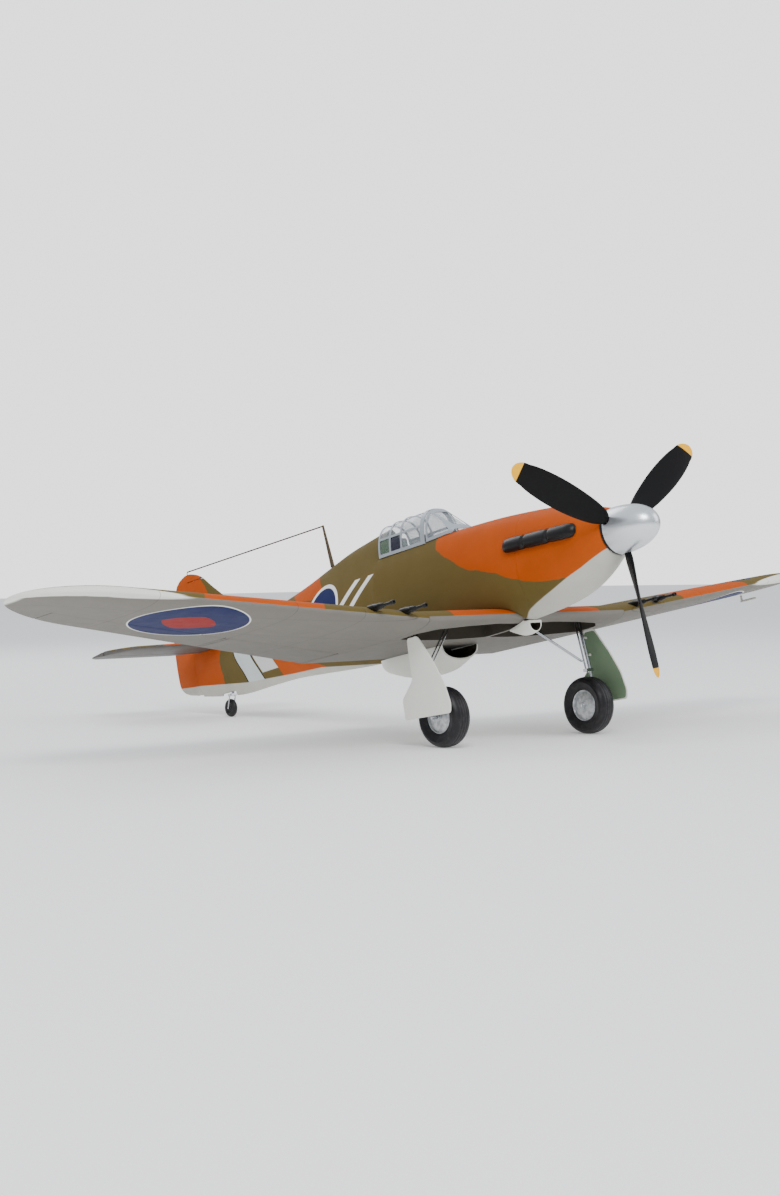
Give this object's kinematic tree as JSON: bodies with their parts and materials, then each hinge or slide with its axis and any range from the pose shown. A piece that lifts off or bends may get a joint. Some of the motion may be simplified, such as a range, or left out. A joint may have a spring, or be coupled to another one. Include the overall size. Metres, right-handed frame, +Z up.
{
  "type": "radio-controlled warbird plane",
  "caption": "Low-wing radio-controlled fighter standing on its wheels, with hinged control surfaces, turning propeller, sliding hood and sprung legs.",
  "frame": {"origin": "centre of the bounding box on the floor plane that the three wheels stand on", "axes": "+X to the aircraft's own port (left) side along the wing span, +Y aft from the spinner to the rudder, +Z up from the floor"},
  "size_m": [1.5194, 1.1982, 0.4273],
  "materials": {
    "camouflage": "satin",
    "underside": "satin",
    "cream": "satin",
    "silver": "satin",
    "chrome": "polished",
    "black": "satin",
    "rubber": "matte",
    "hub_metal": "satin",
    "frame_grey": "satin",
    "glazing": "gloss",
    "interior_green": "matte",
    "wood": "satin",
    "plywood": "matte",
    "motor_metal": "satin",
    "electronics": "satin",
    "wire": "satin"
  },
  "bodies": {
    "airframe": {"aerial_mast": "wood", "aerial_wire": "wire", "battery": "electronics", "cannon_inner_left": "black", "cannon_inner_right": "black", "cannon_outer_left": "black", "cannon_outer_right": "black", "carburettor_intake": "cream", "cockpit_tray": "interior_green", "elevator_servo": "electronics", "engine_cowl": "camouflage", "exhaust_left": "black", "exhaust_right": "black", "fin": "camouflage", "firewall": "plywood", "fuselage_shell": "camouflage", "gear_door_left": "cream", "gear_door_right": "cream", "gear_leg_left": "chrome", "gear_leg_right": "chrome", "motor": "motor_metal", "pilot_seat": "interior_green", "pitot_tube": "underside", "radiator_core": "motor_metal", "radiator_scoop": "cream", "receiver": "electronics", "rudder_servo": "electronics", "side_brace_left": "chrome", "side_brace_right": "chrome", "speed_controller": "electronics", "tailplane": "underside", "windscreen_frame": "frame_grey", "windscreen_glazing": "glazing", "wing_centre_section": "underside", "wing_panel_left": "camouflage", "wing_panel_right": "camouflage"},
    "propeller": {"propeller_shaft": "motor_metal", "spinner_backplate": "black", "spinner": "silver", "propeller_blade_1": "black", "propeller_blade_2": "black", "propeller_blade_3": "black"},
    "hood": {"hood_frame": "frame_grey", "hood_glazing": "glazing"},
    "left_aileron": {"aileron_left": "underside"},
    "right_aileron": {"aileron_right": "underside"},
    "left_flap": {"flap_left": "underside"},
    "right_flap": {"flap_right": "underside"},
    "elevators": {"elevator": "underside"},
    "rudder_assembly": {"rudder": "camouflage"},
    "tail_fork": {"tailwheel_fork": "chrome"},
    "tail_wheel": {"tailwheel": "rubber"},
    "left_oleo": {"oleo_piston_left": "chrome"},
    "right_oleo": {"oleo_piston_right": "chrome"},
    "left_wheel": {"tyre_left": "rubber", "wheel_hub_left": "hub_metal"},
    "right_wheel": {"tyre_right": "rubber", "wheel_hub_right": "hub_metal"}
  },
  "joints": [
    {"name": "propeller_spin", "type": "hinge", "parent": "airframe", "child": "propeller", "pos_m": [0, -0.53673, 0.30269], "axis": [0, -0.9816, 0.1908], "continuous": true},
    {"name": "hood_slide", "type": "slide", "parent": "airframe", "child": "hood", "axis": [0, 0.9797, -0.2006], "range_m": [0, 0.07]},
    {"name": "aileron_left_swing", "type": "hinge", "parent": "airframe", "child": "left_aileron", "pos_m": [0.4096, -0.15905, 0.17086], "axis": [0.9882, -0.0642, 0.1393], "range_deg": [-22, 22]},
    {"name": "aileron_right_swing", "type": "hinge", "parent": "airframe", "child": "right_aileron", "pos_m": [-0.4096, -0.15905, 0.17086], "axis": [0.9882, 0.0642, -0.1393], "range_deg": [-22, 22]},
    {"name": "flap_left_swing", "type": "hinge", "parent": "airframe", "child": "left_flap", "pos_m": [0.2026, -0.1465, 0.14194], "axis": [-0.9886, 0.0599, -0.1381], "range_deg": [0, 40]},
    {"name": "flap_right_swing", "type": "hinge", "parent": "airframe", "child": "right_flap", "pos_m": [-0.2026, -0.1465, 0.14194], "axis": [-0.9886, -0.0599, 0.1381], "range_deg": [0, 40]},
    {"name": "elevator_swing", "type": "hinge", "parent": "airframe", "child": "elevators", "pos_m": [0, 0.50556, 0.11738], "axis": [1, 0, 0], "range_deg": [-25, 25]},
    {"name": "rudder_swing", "type": "hinge", "parent": "airframe", "child": "rudder_assembly", "pos_m": [0, 0.52664, 0.13672], "axis": [0, 0.1908, 0.9816], "range_deg": [-26, 26]},
    {"name": "tailwheel_steer", "type": "hinge", "parent": "airframe", "child": "tail_fork", "pos_m": [0, 0.41043, 0.04725], "axis": [0, 0.1908, 0.9816], "range_deg": [-26, 26]},
    {"name": "tailwheel_spin", "type": "hinge", "parent": "tail_fork", "child": "tail_wheel", "pos_m": [0, 0.41658, 0.016], "axis": [1, 0, 0], "continuous": true},
    {"name": "oleo_left_slide", "type": "slide", "parent": "airframe", "child": "left_oleo", "axis": [0.0191, 0.3154, 0.9488], "range_m": [0, 0.006], "stiffness_N_per_m": 1500, "springref_m": -0.012},
    {"name": "wheel_left_spin", "type": "hinge", "parent": "left_oleo", "child": "left_wheel", "pos_m": [0.1465, -0.32431, 0.04339], "axis": [1, 0, 0], "continuous": true},
    {"name": "oleo_right_slide", "type": "slide", "parent": "airframe", "child": "right_oleo", "axis": [-0.0191, 0.3154, 0.9488], "range_m": [0, 0.006], "stiffness_N_per_m": 1500, "springref_m": -0.012},
    {"name": "wheel_right_spin", "type": "hinge", "parent": "right_oleo", "child": "right_wheel", "pos_m": [-0.1465, -0.32431, 0.04339], "axis": [1, 0, 0], "continuous": true}
  ],
  "couplings": [
    {"joint": "aileron_right_swing", "follows": "aileron_left_swing", "ratio": -1},
    {"joint": "flap_right_swing", "follows": "flap_left_swing", "ratio": 1},
    {"joint": "tailwheel_steer", "follows": "rudder_swing", "ratio": 1}
  ]
}
